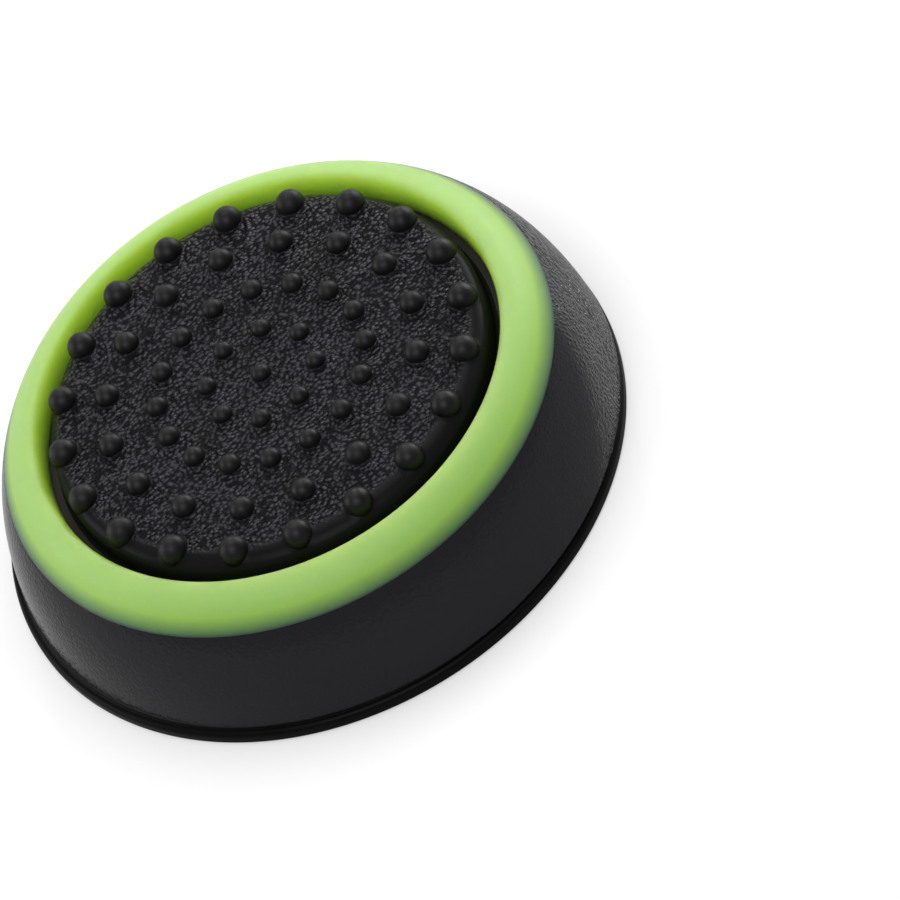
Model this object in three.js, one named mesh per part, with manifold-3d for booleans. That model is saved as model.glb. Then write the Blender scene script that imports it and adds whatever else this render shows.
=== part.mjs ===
// Controller thumb grip: a soft silicone cap that stretches over the head of a thumbstick.
// Millimetres, +Z up. The origin is the centre of the rim that the grip rests on, mouth down.

import * as THREE from "three";
import { mergeVertices } from "three/addons/utils/BufferGeometryUtils.js";
import Module from "manifold-3d";

const wasm = await Module();
wasm.setup();

// Every revolved form
const turnSteps = 64; // facets in one turn

// Shoulder: the level face that is both the moat floor and the seat of the colour ring
const shoulderHeight = 4.42; // above the rim

// Pad: the studded platform that the thumb rests on
const padRadius = 8.1; // side wall of the platform
const padRise = 1.34; // top of the platform at its centre, above the shoulder
const padCrown = 0.12; // fall of the platform from its centre to its edge
const padEdgeRound = 0.45; // rounding between the top and the side wall
const padFootRound = 0.15; // rounding where the side wall meets the moat floor

// Colour ring, from the moat outwards
const moatWidth = 0.42;
const ringWidth = 1.7;
const ringRise = 1.2; // crest above the shoulder
const crestInset = 0.33; // crest behind the ring's inner wall
const crestInnerRound = 0.3; // how broadly the crest turns towards the inner wall
const crestOuterRound = 0.45; // how broadly it turns towards the outer face
const innerWallRise = 0.43; // upright part of the ring's inner wall
const innerWallEase = 0.4; // share of the height above that part over which the wall keeps its slope
const ringFootSlope = 58; // degrees below level at which the ring meets the skirt
const ringFootEase = 0.62; // share of the ring's rise over which the outer face keeps that slope

// Root of the ring, moulded down into a slot in the shoulder
const rootInset = 0.43; // root behind the ring's inner wall
const rootWidth = 0.8;
const rootDepth = 0.5;
const rootClearance = 0.05;

// Skirt and rim
const skirtFlare = 1.42; // how far the rim stands out beyond the colour ring
const skirtSlope = 86; // degrees below level at which the skirt reaches the bead
const skirtEase = 0.33; // share of the skirt's height over which each end keeps its slope
const beadHeight = 0.6; // foot of the skirt
const beadDrop = 0.1; // how far the bead's top lies below the foot of the skirt
const beadStand = 0.16; // how far the bead stands proud of the skirt
const beadTopRound = 0.2;
const beadFootRound = 0.1;

// Cavity that takes the stick head, and the lip that holds it
const wall = 1.2; // rubber between the cavity and the outside, above the stick head
const skirtWall = 2.05; // rubber between the cavity and the rim's outside
const cavityRound = 0.35;
const recessRound = 0.3;
const lipReach = 1.15; // how far the lip stands into the cavity
const lipHeight = 1.0;
const lipRamp = 0.6; // height of the slope from the lip back to the cavity wall
const mouthChamfer = 0.3;

// Studs
const studEdge = 0.6; // centre of the outermost studs, in from the pad's side wall
const studSides = 8;
const studSteps = 3; // facets from the foot of a stud to its top
const studAspect = 1.1; // height of a stud over its radius
const studSink = 0.25; // how far the foot of a stud goes into the pad

// Rings of studs from the pad's edge inwards:
// [count, pitch in from the ring before, stud radius, first angle in degrees]
const studRings = [
  [20, 0, 0.52, 4.8],
  [16, 1.71, 0.455, 14.7],
  [16, 1.92, 0.4, 4.5],
  [8, 1.86, 0.365, 21.7],
];
const middleStudRadius = 0.365;

// Sizes that follow from the ones above
const padHeight = shoulderHeight + padRise;
const ringInnerRadius = padRadius + moatWidth;
const ringOuterRadius = ringInnerRadius + ringWidth;
const rootInnerRadius = ringInnerRadius + rootInset;
const rootOuterRadius = rootInnerRadius + rootWidth;
const rimRadius = ringOuterRadius + skirtFlare;
const cavityRadius = rimRadius - skirtWall;
const cavityHeight = shoulderHeight - wall;
const mouthRadius = cavityRadius - lipReach;
const recessRadius = padRadius - wall;
const recessHeight = padHeight - padCrown - wall;

const degrees = Math.PI / 180;

// Direction of travel along a profile, in degrees below level, as a unit vector.
function heading(slope) {
  return new THREE.Vector2(Math.cos(slope * degrees), -Math.sin(slope * degrees));
}

// Curve from one profile point to another that leaves and arrives along the given slopes.
function sweep(from, fromSlope, fromReach, to, toSlope, toReach, steps) {
  const leave = from.clone().addScaledVector(heading(fromSlope), fromReach);
  const arrive = to.clone().addScaledVector(heading(toSlope), -toReach);
  return new THREE.CubicBezierCurve(from, leave, arrive, to).getPoints(steps);
}

// Quarter-round or other arc about a centre, between two angles in degrees.
function arc(x, y, radius, startAngle, endAngle, steps) {
  const clockwise = endAngle < startAngle;
  return new THREE.EllipseCurve(
    x, y, radius, radius, startAngle * degrees, endAngle * degrees, clockwise,
  ).getPoints(steps);
}

const point = (r, z) => new THREE.Vector2(r, z);

// Height of the pad's crowned top at a distance from the axis.
const padTop = (r) => padHeight - padCrown * (r / padRadius) ** 2;

// The foot of the ring's outer face, shared by the ring and the skirt below it.
const ringFoot = point(ringOuterRadius, shoulderHeight);

// Section of the cap, from the axis over the pad, out to the rim and back under to the axis.
function capProfile() {
  const flatRadius = padRadius - padEdgeRound;
  const edgeHeight = padTop(flatRadius);
  const slotInner = rootInnerRadius - rootClearance;
  const slotOuter = rootOuterRadius + rootClearance;
  const slotFloor = shoulderHeight - rootDepth - rootClearance;
  const skirtFoot = point(rimRadius - beadStand, beadHeight);
  const beadTop = beadHeight - beadDrop;
  const skirtReach = (shoulderHeight - beadHeight) * skirtEase;
  const crownSteps = 3;

  const profile = [point(0, padTop(0))];
  for (let i = 1; i < crownSteps; i++) {
    const r = (flatRadius * i) / crownSteps;
    profile.push(point(r, padTop(r)));
  }
  profile.push(
    ...arc(flatRadius, edgeHeight - padEdgeRound, padEdgeRound, 90, 0, 4),
    ...arc(padRadius + padFootRound, shoulderHeight + padFootRound, padFootRound, 180, 270, 2),
    point(slotInner, shoulderHeight),
    point(slotInner, slotFloor),
    point(slotOuter, slotFloor),
    point(slotOuter, shoulderHeight),
    ...sweep(ringFoot, ringFootSlope, skirtReach, skirtFoot, skirtSlope, skirtReach, 5),
    ...arc(rimRadius - beadTopRound, beadTop - beadTopRound, beadTopRound, 90, 0, 2),
    ...arc(rimRadius - beadFootRound, beadFootRound, beadFootRound, 0, -90, 2),
    point(mouthRadius + mouthChamfer, 0),
    point(mouthRadius, mouthChamfer),
    point(mouthRadius, lipHeight),
    point(cavityRadius, lipHeight + lipRamp),
    ...arc(cavityRadius - cavityRound, cavityHeight - cavityRound, cavityRound, 0, 90, 2),
    point(recessRadius, cavityHeight),
    ...arc(recessRadius - recessRound, recessHeight - recessRound, recessRound, 0, 90, 2),
    point(0, recessHeight),
  );
  return profile;
}

// Section of the colour ring: inner wall, crest, outer face, seat and root.
function ringProfile() {
  const crest = point(ringInnerRadius + crestInset, shoulderHeight + ringRise);
  const wallTop = point(ringInnerRadius, shoulderHeight + innerWallRise);
  const wallReach = (ringRise - innerWallRise) * innerWallEase;
  const footReach = ringRise * ringFootEase;
  return [
    point(ringInnerRadius, shoulderHeight),
    ...sweep(wallTop, -90, wallReach, crest, 0, crestInnerRound, 6),
    ...sweep(crest, 0, crestOuterRound, ringFoot, ringFootSlope, footReach, 9).slice(1),
    point(rootOuterRadius, shoulderHeight),
    point(rootOuterRadius, shoulderHeight - rootDepth),
    point(rootInnerRadius, shoulderHeight - rootDepth),
    point(rootInnerRadius, shoulderHeight),
    point(ringInnerRadius, shoulderHeight),
  ];
}

// Turned form: a profile that runs clockwise in section, revolved about +Z with its faces outwards.
function revolve(profile, steps) {
  return new THREE.LatheGeometry([...profile].reverse(), steps).rotateX(Math.PI / 2);
}

// Solid for joining and cutting, with shared vertices merged.
function toSolid(geometry) {
  const bare = geometry.clone();
  bare.deleteAttribute("normal");
  bare.deleteAttribute("uv");
  const merged = mergeVertices(bare, 1e-4);
  return new wasm.Manifold(
    new wasm.Mesh({
      numProp: 3,
      vertProperties: merged.attributes.position.array,
      triVerts: new Uint32Array(merged.index.array),
    }),
  );
}

function toGeometry(solid) {
  const mesh = solid.getMesh();
  const geometry = new THREE.BufferGeometry();
  geometry.setAttribute("position", new THREE.BufferAttribute(mesh.vertProperties, 3));
  geometry.setIndex(new THREE.BufferAttribute(mesh.triVerts, 1));
  geometry.computeVertexNormals();
  return geometry;
}

// One stud: a dome on a short foot that is sunk into the pad.
function stud(radius) {
  const height = radius * studAspect;
  const dome = arc(0, 0, radius, 90, 0, studSteps).map((p) => point(p.x, (p.y / radius) * height));
  const profile = [...dome, point(radius, -studSink), point(0, -studSink)];
  profile[0].x = 0;
  return revolve(profile, studSides);
}

// Centres of the studs on the pad, with the radius of each.
function studPlaces() {
  const places = [[0, 0, middleStudRadius]];
  let circle = padRadius - studEdge;
  for (const [count, pitch, radius, first] of studRings) {
    circle -= pitch;
    for (let i = 0; i < count; i++) {
      const angle = (first - (360 * i) / count) * degrees;
      places.push([circle * Math.cos(angle), circle * Math.sin(angle), radius]);
    }
  }
  return places;
}

function studdedCap() {
  let cap = toSolid(revolve(capProfile(), turnSteps));
  for (const [x, y, radius] of studPlaces()) {
    const placed = stud(radius).translate(x, y, padTop(Math.hypot(x, y)));
    cap = cap.add(toSolid(placed));
  }
  return toGeometry(cap);
}

const blackSilicone = new THREE.MeshStandardMaterial({ color: 0x26262a, roughness: 0.62, metalness: 0 });
const greenSilicone = new THREE.MeshStandardMaterial({ color: 0xa6d95c, roughness: 0.5, metalness: 0 });

const cap = new THREE.Mesh(studdedCap(), blackSilicone);
cap.name = "grip_cap";
const ring = new THREE.Mesh(revolve(ringProfile(), turnSteps), greenSilicone);
ring.name = "colour_ring";

const grip = new THREE.Group();
grip.add(cap, ring);

export default grip;
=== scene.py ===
import bpy
import math
import numpy as np
from mathutils import Matrix, Vector


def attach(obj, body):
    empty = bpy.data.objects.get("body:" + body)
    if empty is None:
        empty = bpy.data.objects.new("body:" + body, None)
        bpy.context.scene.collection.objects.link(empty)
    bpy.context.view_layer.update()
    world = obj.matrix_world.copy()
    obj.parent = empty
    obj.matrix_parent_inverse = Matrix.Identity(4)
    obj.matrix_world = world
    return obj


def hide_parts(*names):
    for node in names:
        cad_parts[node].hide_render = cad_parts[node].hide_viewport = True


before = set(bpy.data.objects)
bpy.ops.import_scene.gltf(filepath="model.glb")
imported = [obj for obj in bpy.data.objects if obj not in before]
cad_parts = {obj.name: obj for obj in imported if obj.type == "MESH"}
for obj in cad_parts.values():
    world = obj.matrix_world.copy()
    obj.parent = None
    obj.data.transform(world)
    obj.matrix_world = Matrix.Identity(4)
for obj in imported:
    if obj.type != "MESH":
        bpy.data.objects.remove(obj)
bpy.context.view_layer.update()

mm = 0.001  # lengths below are in millimetres, and Blender's are in metres
slack = 0.01  # allowance where heights are compared
same = 1e-6  # profile points closer than this are one point


# Shared helpers

def linearColour(hexCode):
    # sRGB to linear: c / 12.92 below 0.04045, else ((c + 0.055) / 1.055) ^ 2.4
    parts = [int(hexCode[i:i + 2], 16) / 255 for i in (1, 3, 5)]
    return [c / 12.92 if c <= 0.04045 else ((c + 0.055) / 1.055) ** 2.4 for c in parts] + [1.0]


def addNode(tree, kind, inputs=None, **settings):
    # one node, its settings, and its inputs: an output socket is linked, anything else is a value
    node = tree.nodes.new(kind)
    for key, value in settings.items():
        setattr(node, key, value)
    for key, value in (inputs or {}).items():
        if isinstance(value, bpy.types.NodeSocket):
            tree.links.new(value, node.inputs[key])
        else:
            node.inputs[key].default_value = value
    return node


def maths(tree, operation, *values):
    # one sum in a node, such as a * b + c for MULTIPLY_ADD
    node = addNode(tree, "ShaderNodeMath", dict(enumerate(values)), operation=operation)
    return node.outputs[0]


def ramp(tree, factor, stops):
    # a colour ramp from (position, hex) pairs
    node = addNode(tree, "ShaderNodeValToRGB", {"Fac": factor})
    elements = node.color_ramp.elements
    while len(elements) < len(stops):
        elements.new(0.5)
    for element, (position, hexCode) in zip(elements, stops):
        element.position = position
        element.color = linearColour(hexCode)
    return node.outputs["Color"]


def spread(tree, value, low, high, toLow=0.0, toHigh=1.0):
    # a smooth step from one range to another
    node = addNode(tree, "ShaderNodeMapRange", {
        "Value": value, "From Min": low, "From Max": high, "To Min": toLow, "To Max": toHigh,
    }, interpolation_type="SMOOTHSTEP")
    return node.outputs[0]


def newMaterial(name):
    # an empty material, its node tree, and the place on the object in metres, which patterns scale
    material = bpy.data.materials.new(name)
    material.use_nodes = True
    tree = material.node_tree
    tree.nodes.clear()
    place = addNode(tree, "ShaderNodeTexCoord").outputs["Object"]
    return material, tree, place


def arc(centreR, centreZ, radius, startAngle, endAngle, steps):
    # points on a circle about (centreR, centreZ), between two angles in degrees
    angle = np.radians(np.linspace(startAngle, endAngle, steps + 1))
    return np.stack([centreR + radius * np.cos(angle), centreZ + radius * np.sin(angle)], 1)


def heading(slope):
    # direction of travel at a slope in degrees below level
    return np.array([math.cos(math.radians(slope)), -math.sin(math.radians(slope))])


def sweep(start, startSlope, startReach, end, endSlope, endReach, steps):
    # cubic curve (1-t)^3 a + 3(1-t)^2 t b + 3(1-t) t^2 c + t^3 d, leaving and arriving along slopes
    t = np.linspace(0, 1, steps + 1)[:, None]
    a, d = np.array(start), np.array(end)
    b, c = a + heading(startSlope) * startReach, d - heading(endSlope) * endReach
    return (1 - t) ** 3 * a + 3 * (1 - t) ** 2 * t * b + 3 * (1 - t) * t ** 2 * c + t ** 3 * d


def line(start, end, steps):
    # even steps along a straight run: start + t (end - start)
    t = np.linspace(0, 1, steps + 1)[:, None]
    return np.array(start) + t * (np.array(end) - np.array(start))


def joinRuns(*runs):
    # one profile from several runs, with repeated points dropped
    points = np.concatenate([np.atleast_2d(run) for run in runs])
    apart = np.linalg.norm(np.diff(points, axis=0), axis=1) > same
    return points[np.concatenate([[True], apart])]


def smoothStep(value, low, high):
    # 3t^2 - 2t^3 with t from 0 at low to 1 at high
    t = np.clip((value - low) / (high - low), 0, 1)
    return t * t * (3 - 2 * t)


def turned(profile, turns, closed=False):
    # profile points (r, z) turned about +Z: x = r cos a, y = r sin a. An open profile starts and
    # ends on the axis and gets a pole at each end; a closed one wraps round like a ring.
    angle = np.arange(turns) * 2 * np.pi / turns
    body = profile if closed else profile[1:-1]
    r, z = body[:, :1], body[:, 1:]
    points = np.stack([r * np.cos(angle), r * np.sin(angle), z + 0 * angle], 2).reshape(-1, 3)
    index = np.arange(len(points)).reshape(len(body), turns)
    beside = np.roll(index, -1, axis=1)
    rows = len(body) if closed else len(body) - 1
    below, belowBeside = np.roll(index, -1, axis=0)[:rows], np.roll(beside, -1, axis=0)[:rows]
    quads = np.stack([index[:rows], below, belowBeside, beside[:rows]], 2).reshape(-1, 4)
    if closed:
        return points, quads, np.empty((0, 3), int)
    poles = np.array([[0, 0, profile[0, 1]], [0, 0, profile[-1, 1]]])
    first = np.stack([np.full(turns, len(points)), index[0], beside[0]], 1)
    last = np.stack([np.full(turns, len(points) + 1), beside[-1], index[-1]], 1)
    return np.concatenate([points, poles]), quads, np.concatenate([first, last])


def makePiece(name, points, quads, tris, materials, cadNode):
    # a smooth-shaded mesh that rides on the body and stands for a CAD node
    mesh = bpy.data.meshes.new(name)
    mesh.from_pydata(points * mm, [], quads.tolist() + tris.tolist())
    mesh.polygons.foreach_set("use_smooth", np.ones(len(mesh.polygons), bool))
    for material in materials:
        mesh.materials.append(material)
    mesh.update()
    piece = bpy.data.objects.new(name, mesh)
    bpy.context.scene.collection.objects.link(piece)
    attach(piece, "root")
    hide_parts(cadNode)
    return piece


def setGrain(piece, amount):
    # how strong the moulded grain is at each vertex, which the grained materials read
    layer = piece.data.attributes.new("grain", "FLOAT", "POINT")
    layer.data.foreach_set("value", amount)


# Materials

pebbleForm = {
    "reach": 0.75,  # where a dome starts to rise, in pebbles from its centre
    "level": 0.6,  # the height that counts as no bump
    "stray": 2.0, "strayDetail": 1.0,  # the outlines wander over this many pebbles
    "polished": (0.17, 0.14), "flatten": 0.8,  # about one pebble in twenty is worn flat and shines
    "toothDetail": 3.0, "toothRoughness": 0.6, "patchDetail": 3.0,
    "pitAt": 0.2, "peakAt": 0.8,
}


def grainedRubber(name, form):
    # silicone from a spark-eroded mould, dull black with bright points: crowded pebbles with fine tooth
    # height = (dome + toothShare * tooth - level) * grain; only the pebbles' tops keep their gloss
    material, tree, place = newMaterial(name)
    wander = addNode(tree, "ShaderNodeTexNoise", {
        "Vector": place, "Scale": 1 / (form["pebble"] * pebbleForm["stray"] * mm),
        "Detail": pebbleForm["strayDetail"],
    })
    # a noise is centred on a half
    shift = addNode(tree, "ShaderNodeVectorMath", {
        0: wander.outputs["Color"], 1: (0.5, 0.5, 0.5),
    }, operation="SUBTRACT")
    pushed = addNode(tree, "ShaderNodeVectorMath", {
        0: shift.outputs[0], 1: (form["pebble"] * form["wander"] * mm,) * 3, 2: place,
    }, operation="MULTIPLY_ADD")
    pebbles = addNode(tree, "ShaderNodeTexVoronoi", {
        "Vector": pushed.outputs[0], "Scale": 1 / (form["pebble"] * mm),
    }, feature="F1")
    tooth = addNode(tree, "ShaderNodeTexNoise", {
        "Vector": place, "Scale": 1 / (form["tooth"] * mm),
        "Detail": pebbleForm["toothDetail"], "Roughness": pebbleForm["toothRoughness"],
    }).outputs["Fac"]
    polished = spread(tree, pebbles.outputs["Color"], *pebbleForm["polished"])  # random for each pebble
    flatter = maths(tree, "MULTIPLY_ADD", polished, -pebbleForm["flatten"], 1.0)
    domes = spread(tree, pebbles.outputs["Distance"], pebbleForm["reach"], 0.0)
    domes = maths(tree, "MULTIPLY", domes, flatter)
    height = maths(tree, "MULTIPLY_ADD", tooth, form["toothShare"], domes)
    mask = addNode(tree, "ShaderNodeAttribute", attribute_name="grain").outputs["Fac"]
    height = maths(tree, "MULTIPLY", maths(tree, "SUBTRACT", height, pebbleForm["level"]), mask)
    bump = addNode(tree, "ShaderNodeBump", {
        "Height": height, "Strength": form["strength"], "Distance": form["depth"] * mm,
    })
    patches = addNode(tree, "ShaderNodeTexNoise", {
        "Vector": place, "Scale": 1 / (form["patch"] * mm), "Detail": pebbleForm["patchDetail"],
    }).outputs["Fac"]
    # painted shade: the colour is darker in the pits and lighter on the pebble tops, following the height,
    # over the noise patches
    shade = maths(tree, "MULTIPLY_ADD", height, form["pitShadeShare"], patches)
    grained = ramp(tree, shade, [(pebbleForm["pitAt"], form["pit"]), (pebbleForm["peakAt"], form["peak"])])
    # sockets 0, 6 and 7 of a colour mix are its factor and its two colours
    colour = addNode(tree, "ShaderNodeMix", {
        0: mask, 6: linearColour(form["smooth"]), 7: grained,
    }, data_type="RGBA").outputs[2]
    polished = maths(tree, "MULTIPLY", polished, mask)
    rough = maths(tree, "MULTIPLY_ADD", polished, form["glint"] - form["roughness"], form["roughness"])
    # painted shade: the gloss is cut in the pits too, standing in for their shade
    pitStep, peakStep = form["pitGloss"] - form["smoothGloss"], form["peakGloss"] - form["smoothGloss"]
    peaks = spread(tree, height, *form["glossFrom"], pitStep, peakStep)
    gloss = maths(tree, "MULTIPLY_ADD", peaks, mask, form["smoothGloss"])
    shader = addNode(tree, "ShaderNodeBsdfPrincipled", {
        "Base Color": colour,
        "Roughness": rough,
        "IOR": form["ior"],
        "Specular IOR Level": gloss,
        "Normal": bump.outputs["Normal"],
    })
    addNode(tree, "ShaderNodeOutputMaterial", {"Surface": shader.outputs[0]})
    return material


satinForm = {
    "fine": 0.05, "fineDetail": 2.0, "strength": 0.3,
    "hazeFrom": 0.3, "hazeTo": 0.7, "hazeDetail": 3.0,
    "swing": 0.04,  # how far the haze shifts the roughness
}


def smoothRubber(name, form):
    # silicone from a polished part of the mould: soft satin lights, with a faint haze of handling
    material, tree, place = newMaterial(name)
    haze = addNode(tree, "ShaderNodeTexNoise", {
        "Vector": place, "Scale": 1 / (form["haze"] * mm), "Detail": satinForm["hazeDetail"],
    }).outputs["Fac"]
    low, high, swing = satinForm["hazeFrom"], satinForm["hazeTo"], satinForm["swing"]
    fine = addNode(tree, "ShaderNodeTexNoise", {
        "Vector": place, "Scale": 1 / (satinForm["fine"] * mm), "Detail": satinForm["fineDetail"],
    })
    bump = addNode(tree, "ShaderNodeBump", {
        "Height": fine.outputs["Fac"], "Strength": satinForm["strength"], "Distance": form["depth"] * mm,
    })
    shader = addNode(tree, "ShaderNodeBsdfPrincipled", {
        "Base Color": ramp(tree, haze, [(low, form["low"]), (high, form["high"])]),
        "Roughness": spread(tree, haze, low, high, form["roughness"] - swing, form["roughness"] + swing),
        "IOR": form["ior"],
        "Specular IOR Level": form["gloss"],
        "Normal": bump.outputs["Normal"],
    })
    addNode(tree, "ShaderNodeOutputMaterial", {"Surface": shader.outputs[0]})
    return material


def cloudyRubber(name, form):
    # lime silicone, matt and a little cloudy: light goes some way in, and the thin feather edge at the
    # foot lets the black below through. The inner wall, which sees little but lime, is painted a deeper
    # lime, a painted shade standing in for the lime-tinted shade it sits in
    material, tree, place = newMaterial(name)
    axes = addNode(tree, "ShaderNodeSeparateXYZ", {"Vector": place}).outputs
    haze = addNode(tree, "ShaderNodeTexNoise", {
        "Vector": place, "Scale": 1 / (form["haze"] * mm), "Detail": form["hazeDetail"],
    })
    wave = maths(tree, "MULTIPLY_ADD", haze.outputs["Fac"], form["wave"] * mm, axes["Z"])
    squares = maths(tree, "ADD", *(maths(tree, "POWER", axes[axis], 2.0) for axis in "XY"))
    radius = maths(tree, "SQRT", squares)
    outside = spread(tree, radius, form["featherInner"] * mm, form["featherOuter"] * mm)
    # painted sheen: the feather is broader by 1 + share * (x / sideReach)^2 towards the two sides, with the
    # share from the form, standing in for the wider fade that a grazing view shows there
    side = maths(tree, "POWER", maths(tree, "MULTIPLY", axes["X"], 1 / (form["sideReach"] * mm)), 2.0)
    rise = maths(tree, "DIVIDE", maths(tree, "SUBTRACT", wave, form["featherLow"] * mm),
                 maths(tree, "MULTIPLY_ADD", side, form["sideSheenFeather"], 1.0))
    thick = spread(tree, rise, 0.0, (form["featherHigh"] - form["featherLow"]) * mm)
    # the colours climb the outer face from the black below to the crest: the feather edge over the black is
    # the ring's own colour, the darkening above it towards the foot is partly painted shade, and the paler
    # crest stop is a painted sheen
    feathered = ramp(tree, thick, [
        (0.0, form["under"]), (form["midAt"], form["mid"]), (form["faceAt"], form["face"]),
        (1.0, form["crest"]),
    ])
    # painted shade: within the feather radii the inner wall takes the deeper inside lime in place of the
    # feathered colours
    colour = addNode(tree, "ShaderNodeMix", {
        0: outside, 6: linearColour(form["inside"]), 7: feathered,
    }, data_type="RGBA").outputs[2]
    shader = addNode(tree, "ShaderNodeBsdfPrincipled", {
        "Base Color": colour,
        "Roughness": form["roughness"],
        "IOR": form["ior"],
        "Subsurface Weight": form["cloud"],
        "Subsurface Scale": form["cloudDepth"] * mm,
        "Subsurface Radius": form["travel"],
        "Sheen Weight": maths(tree, "MULTIPLY", outside, form["sheen"]),
        "Sheen Roughness": form["sheenRoughness"],
        "Sheen Tint": linearColour(form["sheenTint"]),
    })
    addNode(tree, "ShaderNodeOutputMaterial", {"Surface": shader.outputs[0]})
    return material


padSilicone = grainedRubber("pad_silicone_eroded_grain", {
    "pit": "#09090c", "peak": "#30303a", "smooth": "#161618", "pitShadeShare": 1.0,
    "pitGloss": 0.03, "peakGloss": 0.8, "smoothGloss": 0.08, "glossFrom": (-0.6, 0.4),
    "roughness": 0.32, "glint": 0.2, "ior": 1.43, "wander": 0.5,
    "pebble": 0.158, "tooth": 0.07, "toothShare": 0.35, "patch": 2.5, "strength": 1.0, "depth": 0.12,
})
skirtSilicone = grainedRubber("skirt_silicone_soft_grain", {
    "pit": "#0a0a0b", "peak": "#161618", "smooth": "#27272a", "pitShadeShare": 0.4,
    "pitGloss": 0.03, "peakGloss": 1.0, "smoothGloss": 0.05, "glossFrom": (-0.47, 0.1),
    "roughness": 0.13, "glint": 0.1, "ior": 1.58, "wander": 0.4,
    "pebble": 0.145, "tooth": 0.07, "toothShare": 0.3, "patch": 3.0, "strength": 1.0, "depth": 0.2,
})
studSilicone = smoothRubber("stud_silicone_polished", {
    "low": "#0b0b0d", "high": "#121214", "roughness": 0.46, "ior": 1.4, "gloss": 0.4,
    "haze": 0.8, "depth": 0.006,
})
rimSilicone = smoothRubber("rim_silicone_polished", {
    "low": "#090808", "high": "#0f0d0d", "roughness": 0.38, "ior": 1.4, "gloss": 0.1,
    "haze": 2.0, "depth": 0.003,
})
# the moat floor takes a lighter, brownish black than the other black parts
moatSilicone = smoothRubber("moat_silicone_brownish", {
    "low": "#2a2724", "high": "#38332f", "roughness": 0.6, "ior": 1.4, "gloss": 0.25,
    "haze": 0.7, "depth": 0.006,
})
ringSilicone = cloudyRubber("lime_silicone_matt", {
    # inside: painted shade, the deeper lime of the shaded inner wall
    "inside": "#a8d14c", "crest": "#a4d078", "face": "#a2d15f", "mid": "#669650", "under": "#1c241f",
    # crest: a painted sheen, paler than the face; the darker mid colour low on the face is partly painted
    # shade
    "midAt": 0.12, "faceAt": 0.58, "haze": 1.5, "hazeDetail": 2.0, "sideReach": 10.0,
    "roughness": 0.48, "ior": 1.42,
    "featherLow": 4.22, "featherHigh": 5.6, "featherInner": 8.54, "featherOuter": 8.82, "wave": 0.04,
    "sideSheenFeather": 0.05, "cloud": 1.0, "cloudDepth": 2.6, "travel": (1.15, 1.0, 0.12),
    "sheen": 0.2, "sheenRoughness": 0.4, "sheenTint": "#e4efe8",
})
print("materials made")


# Cap: shoulder, skirt, groove, rim bead, lip and cavity, turned from one section

capForm = {
    "shoulder": 4.42, "rimRadius": 11.45,
    "lean": -0.05, "beadLean": -0.14, "beadGap": 0.02,  # the soft skirt leans a little to one side
    "ringTuck": 0.06, "ringLip": 0.03, "seatDrop": 0.1,  # the skirt's start, out of sight under the ring
    "skirtSlope": 86, "skirtEase": 1 / 3, "beadHeight": 0.6, "beadStand": 0.17, "beadDropShare": 0.5,
    "beadTopRound": 0.2, "beadTopAngle": 100, "beadFootRound": 0.1, "grooveDepth": 0.07,
    "cavityRadius": 9.59, "cavityHeight": 3.22, "cavityRound": 0.35,
    "recessRadius": 6.9, "recessHeight": 4.44, "recessRound": 0.3,
    "mouthRadius": 8.44, "mouthChamfer": 0.3, "lipHeight": 1.0, "lipRamp": 0.6,
    "turns": 560, "rimFaceReach": 0.5, "moatReach": 0.3,
    # side where the grain and its gloss fade to a smooth finish: its direction in plan, how much further it
    # goes near the ring, where it fades out as a cosine, and how much of the grain goes
    "smoothSideTowards": (-0.375, -0.927), "smoothSideHigher": 0.45, "smoothSideFade": (-0.22, 0.28), "smoothSideShare": 0.96,
    "grainInset": 0.1, "grainFoot": 0.2,
}


def capProfile(form, ring, pad):
    # from the axis over the core under the pad, out to the rim, and back under to the axis;
    # the last number of a run is its count of steps
    shoulder, rim, bead = form["shoulder"], form["rimRadius"], form["beadTopRound"]
    core = (pad["radius"] - pad["core"], shoulder + pad["core"])
    slotInner = ring["rootInner"] - ring["rootClearance"]
    slotOuter = ring["rootOuter"] + ring["rootClearance"]
    slotFloor = ring["rootLow"] - ring["rootClearance"]
    skirtFoot = (rim - form["beadStand"], form["beadHeight"])
    reach = (shoulder - form["beadHeight"]) * form["skirtEase"]
    beadTop = form["beadHeight"] - bead * form["beadDropShare"]
    groove = (skirtFoot[0] - form["grooveDepth"], (form["beadHeight"] + beadTop) / 2)
    foot, seat = form["beadFootRound"], shoulder - form["seatDrop"]
    cavity, recess = form["cavityRound"], form["recessRound"]
    return joinRuns(
        (0, core[1]), core,
        line((core[0], shoulder), (slotInner, shoulder), 6),
        (slotInner, slotFloor), (slotOuter, slotFloor), (slotOuter, seat),
        (ring["outer"] - form["ringTuck"], seat),
        (ring["outer"] - form["ringLip"], shoulder + form["ringLip"]),
        sweep((ring["outer"], shoulder), ring["footSlope"], reach,
              skirtFoot, form["skirtSlope"], reach, 44),
        groove,
        arc(rim - bead, beadTop - bead, bead, form["beadTopAngle"], 0, 9),
        arc(rim - foot, foot, foot, 0, -90, 5),
        (form["mouthRadius"] + form["mouthChamfer"], 0),
        line((form["mouthRadius"], form["mouthChamfer"]), (form["mouthRadius"], form["lipHeight"]), 2),
        (form["cavityRadius"], form["lipHeight"] + form["lipRamp"]),
        arc(form["cavityRadius"] - cavity, form["cavityHeight"] - cavity, cavity, 0, 90, 7),
        (form["recessRadius"], form["cavityHeight"]),
        arc(form["recessRadius"] - recess, form["recessHeight"] - recess, recess, 0, 90, 7),
        (0, form["recessHeight"]),
    )


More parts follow.
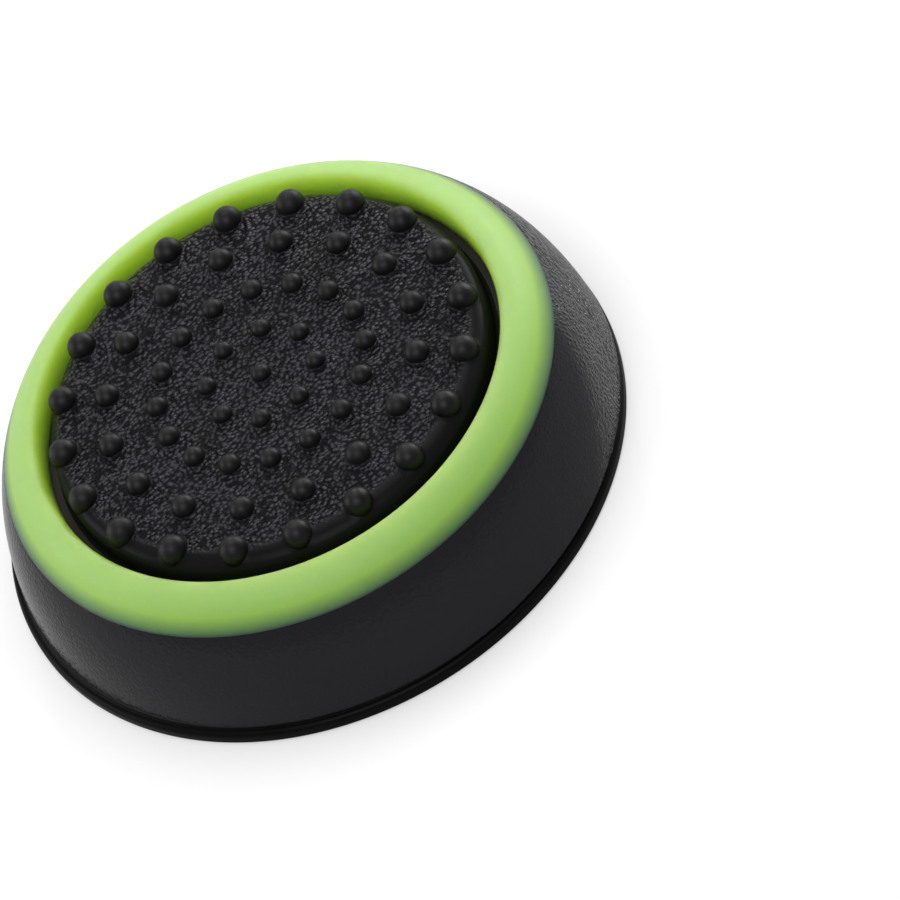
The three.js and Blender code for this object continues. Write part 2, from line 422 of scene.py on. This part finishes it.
def makeCap(form, ring, pad):
    # the turned section, moved in X by lean * (1 - z / shoulder), and by beadLean more at the bead
    points, quads, tris = turned(capProfile(form, ring, pad), form["turns"])
    points[:, 0] += form["lean"] * np.clip(1 - points[:, 2] / form["shoulder"], 0, 1)
    points[:, 0] += form["beadLean"] * (points[:, 2] < form["beadHeight"] - form["beadGap"])
    cap = makePiece("cap_body", points, quads, tris, [skirtSilicone, rimSilicone, moatSilicone],
                    "grip_cap")
    centre = np.concatenate([points[quads].mean(1), points[tris].mean(1)])
    radius, height = np.hypot(centre[:, 0], centre[:, 1]), centre[:, 2]
    isBead = (height > slack) & (height < form["beadHeight"] - slack)
    isBead &= radius > form["cavityRadius"] + form["rimFaceReach"]
    isMoat = (height > form["shoulder"] - slack) & (radius < ring["inner"] + form["moatReach"])
    cap.data.polygons.foreach_set("material_index", isBead * 1 + isMoat * 2)
    # cosine of the angle from the smooth side, raised towards the ring
    fromAxis = np.hypot(points[:, 0], points[:, 1])
    toSmoothSide = (points[:, :2] @ form["smoothSideTowards"]) / fromAxis.clip(1)
    toSmoothSide += form["smoothSideHigher"] * (points[:, 2] / form["shoulder"] - 0.5)
    isOutside = (fromAxis > ring["outer"] - form["grainInset"]) & (points[:, 2] > form["grainFoot"])
    setGrain(cap, isOutside * (1 - form["smoothSideShare"] * smoothStep(toSmoothSide, *form["smoothSideFade"])))


# Studs: domes in rings of 20, 16, 16, 8 and 1

studForm = {
    # count, circle radius, stud radius, first angle
    "rings": [(20, 7.5, 0.53, 4.8), (16, 5.79, 0.465, 14.7), (16, 3.87, 0.405, 4.5),
              (8, 2.01, 0.37, 21.7), (1, 0.0, 0.37, 0.0)],
    "offset": (-0.07, 0.04), "aspect": 1.05, "sunk": 0.5, "turns": 40, "steps": 12,
    "fillet": 0.12, "filletRise": 0.03,
}


def studSeats(form):
    # x, y and radius of every stud: even steps round each circle
    seats = []
    for count, circle, radius, first in form["rings"]:
        angle = np.radians(first - 360 * np.arange(count) / count)
        seats.append(np.stack([circle * np.cos(angle), circle * np.sin(angle), 0 * angle + radius], 1))
    return np.concatenate(seats) + [*form["offset"], 0]


def makeStuds(form):
    # one stud of radius 1, turned from a stretched quarter circle, and copied to every seat at its size
    dome = arc(0, 0, 1, 90, 0, form["steps"]) * [1, form["aspect"]]
    profile = joinRuns(dome, (1, -form["sunk"]), (0, -form["sunk"]))
    profile[0, 0] = 0  # the dome's top lies on the axis
    single, quads, tris = turned(profile, form["turns"])
    seats = studSeats(form)
    base = np.stack([seats[:, 0], seats[:, 1], padTop(np.hypot(seats[:, 0], seats[:, 1]))], 1)
    points = (base[:, None] + single * seats[:, 2, None, None]).reshape(-1, 3)
    offset = np.arange(len(seats))[:, None, None] * len(single)
    makePiece("studs", points, (quads + offset).reshape(-1, 4), (tris + offset).reshape(-1, 3),
              [studSilicone], "grip_cap")


# Pad: crowned top with a fillet round each stud, rounded edge and side wall

padForm = {
    "radius": 8.1, "height": 5.76, "crown": 0.12, "edgeRound": 0.75, "edgeDrop": 0.5, "footRound": 0.15,
    "rows": 118, "turns": 640, "core": 0.6, "sink": 0.1, "seatGap": 0.002, "topFrom": 0.5,
    "grainRadius": 7.8, "grainShift": 0.27, "grainFade": 0.3,  # the grained disc lies a little off the axis
    "studFade": 0.06,  # the grain fades out over this much on either side of a stud's foot
}


def padTop(r):
    # crown: the top falls as the square of the distance from the axis
    return padForm["height"] - padForm["crown"] * (r / padForm["radius"]) ** 2


def padProfile(form, shoulder):
    # crowned top, an edge rounded as a quarter ellipse, an upright wall, and a small round at its foot
    flat, edge, drop = form["radius"] - form["edgeRound"], form["edgeRound"], form["edgeDrop"]
    foot = form["radius"] + form["footRound"]
    footCentre = shoulder + form["footRound"] + form["seatGap"]
    r = np.linspace(0, flat, form["rows"])
    return joinRuns(
        np.stack([r, padTop(r)], 1),
        arc(0, 0, 1, 90, 0, 14) * [edge, drop] + [flat, padTop(flat) - drop],
        arc(foot, footCentre, form["footRound"], 180, 270, 5),
        (foot, shoulder - form["sink"]), (0, shoulder - form["sink"]),
    )


def makePad(form, studs, shoulder):
    # grain: full inside grainRadius, gone where a stud stands and on the smooth edge
    points, quads, tris = turned(padProfile(form, shoulder), form["turns"])
    seats = studSeats(studs)
    gap = np.full(len(points), np.inf)
    for x, y, size in seats:
        gap = np.minimum(gap, np.hypot(points[:, 0] - x, points[:, 1] - y) - size)
    # fillet: rise * (1 - gap / width)^2 outside the stud
    near = np.clip(1 - np.clip(gap, 0, None) / studs["fillet"], 0, 1)
    isTop = points[:, 2] > shoulder + form["topFrom"]
    points[:, 2] += studs["filletRise"] * near ** 2 * isTop
    offAxis = np.hypot(points[:, 0], points[:, 1] - form["grainShift"])
    grain = smoothStep(-offAxis, -form["grainRadius"], -form["grainRadius"] + form["grainFade"])
    grain = grain * smoothStep(gap, -form["studFade"], form["studFade"]) * isTop
    pad = makePiece("pad", points, quads, tris, [padSilicone], "grip_cap")
    setGrain(pad, grain)


# Colour ring: inner wall, crest, slanting outer face, seat and root

ringForm = {
    "inner": 8.52, "outer": 10.22, "crest": 8.85, "crestHeight": 5.62, "crestIn": 0.3, "crestOut": 0.45,
    "wallTop": 4.85, "wallReach": 0.3, "footSlope": 58, "footReach": 0.744,
    "tuck": 0.05, "tuckTurn": 12, "seatGap": 0.003,
    "rootInner": 8.95, "rootOuter": 9.75, "rootLow": 3.92, "rootClearance": 0.05, "turns": 640,
}


def ringProfile(form, shoulder):
    # up the inner wall, over the crest and down the outer face, then back under with the root
    crest = (form["crest"], form["crestHeight"])
    wallTop = (form["inner"], form["wallTop"])
    foot = (form["outer"], shoulder)
    seat = shoulder + form["seatGap"]
    return joinRuns(
        line((form["inner"], seat), wallTop, 4),
        sweep(wallTop, -90, form["wallReach"], crest, 0, form["crestIn"], 22),
        sweep(crest, 0, form["crestOut"], foot, form["footSlope"], form["footReach"], 44),
        foot + heading(form["footSlope"] + form["tuckTurn"]) * form["tuck"],
        (form["rootOuter"], shoulder - form["tuck"]), (form["rootOuter"], form["rootLow"]),
        (form["rootInner"], form["rootLow"]), (form["rootInner"], seat),
    )


def makeRing(form, shoulder):
    # the closed section, turned about the axis
    points, quads, tris = turned(ringProfile(form, shoulder), form["turns"], closed=True)
    makePiece("ring_moulding", points, quads, tris, [ringSilicone], "colour_ring")


makeCap(capForm, ringForm, padForm)
print("cap made")
makeStuds(studForm)
print("studs made")
makePad(padForm, studForm, capForm["shoulder"])
print("pad made")
makeRing(ringForm, capForm["shoulder"])
print("ring made")


# Floor, light and camera

stageForm = {
    "floor": 1500, "hole": 10.9, "sides": 96, "drop": 0.01,  # open inside the rim, to show the underside
    "bounce": "#e0e0e0",  # the paper as it lights the object
    "paper": "#b3b3b3", "lit": 0.64,  # as the camera sees it: lamplight on paper and an even white over it
    "contact": 3.0, "contactShare": 0.5,  # reach and strength of the painted contact shadow, a soft dark line round the foot
    "worldFront": "#7c7c7c", "worldBack": "#cdcdcd", "worldFade": (-0.6, 0.7),  # dimmer behind the camera
}


def makeStage(form):
    # a flat disc with a hole: both circles are x = r cos a, y = r sin a
    sides = form["sides"]
    angle = np.arange(sides) * 2 * np.pi / sides
    circle = np.stack([np.cos(angle), np.sin(angle), 0 * angle], 1)
    points = np.concatenate([circle * form["hole"], circle * form["floor"]]) - [0, 0, form["drop"]]
    inner = np.arange(sides)
    beside = np.roll(inner, -1)
    quads = np.stack([inner, inner + sides, beside + sides, beside], 1)
    mesh = bpy.data.meshes.new("floor")
    mesh.from_pydata(points * mm, [], quads.tolist())
    floor = bpy.data.objects.new("floor", mesh)
    bpy.context.scene.collection.objects.link(floor)
    material, tree, place = newMaterial("white_paper_floor")
    seen = addNode(tree, "ShaderNodeLightPath").outputs["Is Camera Ray"]
    paper = ramp(tree, seen, [(0.0, form["bounce"]), (1.0, form["paper"])])
    matt = addNode(tree, "ShaderNodeBsdfDiffuse", {"Color": paper})
    # painted contact shadow: ambient occlusion dims the floor's even white glow close round the object
    openness = addNode(tree, "ShaderNodeAmbientOcclusion", {"Distance": form["contact"] * mm}).outputs["AO"]
    share = form["lit"] * form["contactShare"]
    glow = maths(tree, "MULTIPLY", maths(tree, "MULTIPLY_ADD", openness, share, form["lit"] - share), seen)
    lit = addNode(tree, "ShaderNodeEmission", {"Color": (1, 1, 1, 1), "Strength": glow})
    both = addNode(tree, "ShaderNodeAddShader", {0: matt.outputs[0], 1: lit.outputs[0]})
    addNode(tree, "ShaderNodeOutputMaterial", {"Surface": both.outputs[0]})
    mesh.materials.append(material)
    world = bpy.data.worlds.new("studio")
    world.use_nodes = True
    bpy.context.scene.world = world
    tree = world.node_tree
    tree.nodes.clear()
    path = addNode(tree, "ShaderNodeLightPath")
    aim = addNode(tree, "ShaderNodeTexCoord").outputs["Generated"]
    depth = addNode(tree, "ShaderNodeSeparateXYZ", {"Vector": aim}).outputs["Y"]
    fade = spread(tree, depth, *form["worldFade"])
    room = ramp(tree, fade, [(0.0, form["worldFront"]), (1.0, form["worldBack"])])
    soft = addNode(tree, "ShaderNodeBackground", {"Color": room, "Strength": 1.0})
    white = addNode(tree, "ShaderNodeBackground", {"Color": (1, 1, 1, 1), "Strength": 1.0})
    mixed = addNode(tree, "ShaderNodeMixShader", {
        0: path.outputs["Is Camera Ray"], 1: soft.outputs[0], 2: white.outputs[0],
    })
    addNode(tree, "ShaderNodeOutputWorld", {"Surface": mixed.outputs[0]})


makeStage(stageForm)

softboxes = {
    # position, width and height in mm, and the brightness of the face
    "overhead": {"place": (50, 110, 270), "size": (190, 170), "glow": 2.05},
    "front": {"place": (-60, -170, 260), "size": (220, 200), "glow": 2.7},
    "spark": {"place": (60, 230, 125), "size": (14, 14), "glow": 100.0},
    "low": {"place": (210, 200, 35), "size": (220, 70), "glow": 1.4},
    "right": {"place": (260, 190, 90), "size": (200, 160), "glow": 3.7},
    "left": {"place": (-280, 120, 100), "size": (200, 160), "glow": 2.05},
}


def addSoftbox(name, form):
    # an area lamp's power is its brightness times pi times its area
    lamp = bpy.data.lights.new(name, "AREA")
    lamp.shape = "RECTANGLE"
    lamp.size, lamp.size_y = (side * mm for side in form["size"])
    lamp.energy = form["glow"] * math.pi * lamp.size * lamp.size_y
    light = bpy.data.objects.new(name, lamp)
    bpy.context.scene.collection.objects.link(light)
    light.location = Vector(form["place"]) * mm
    light.rotation_euler = (-light.location).to_track_quat("-Z", "Y").to_euler()


for boxName, boxForm in softboxes.items():
    addSoftbox(boxName, boxForm)

cameraForm = {
    "lens": 560.1, "distance": 483.98, "elevation": 46.83, "roll": -31.03,
    "aim": 5.905,  # height on the axis of the point that is aimed by pixel
    "pixel": (262.19, 371.34), "frame": 900, "sensor": 36.0, "clip": (0.01, 10),
}


def addCamera(form):
    # the camera looks along +Y, pitched down by the elevation and rolled about its own axis
    pitch, roll = math.radians(90 - form["elevation"]), math.radians(form["roll"])
    axes = Matrix.Rotation(pitch, 3, "X") @ Matrix.Rotation(roll, 3, "Z")
    data = bpy.data.cameras.new("camera")
    data.lens, data.sensor_width = form["lens"], form["sensor"]
    data.clip_start, data.clip_end = form["clip"]
    pixels = form["frame"] * form["lens"] / form["sensor"]
    centre = form["frame"] / 2
    ray = Vector(((form["pixel"][0] - centre) / pixels, (centre - form["pixel"][1]) / pixels, -1))
    place = Vector((0, 0, form["aim"])) - axes @ (ray * form["distance"])
    camera = bpy.data.objects.new("camera", data)
    bpy.context.scene.collection.objects.link(camera)
    camera.matrix_world = Matrix.Translation(place * mm) @ axes.to_4x4()
    bpy.context.scene.camera = camera


addCamera(cameraForm)
bpy.context.scene.view_settings.view_transform = "Standard"
print("stage, lights and camera made")
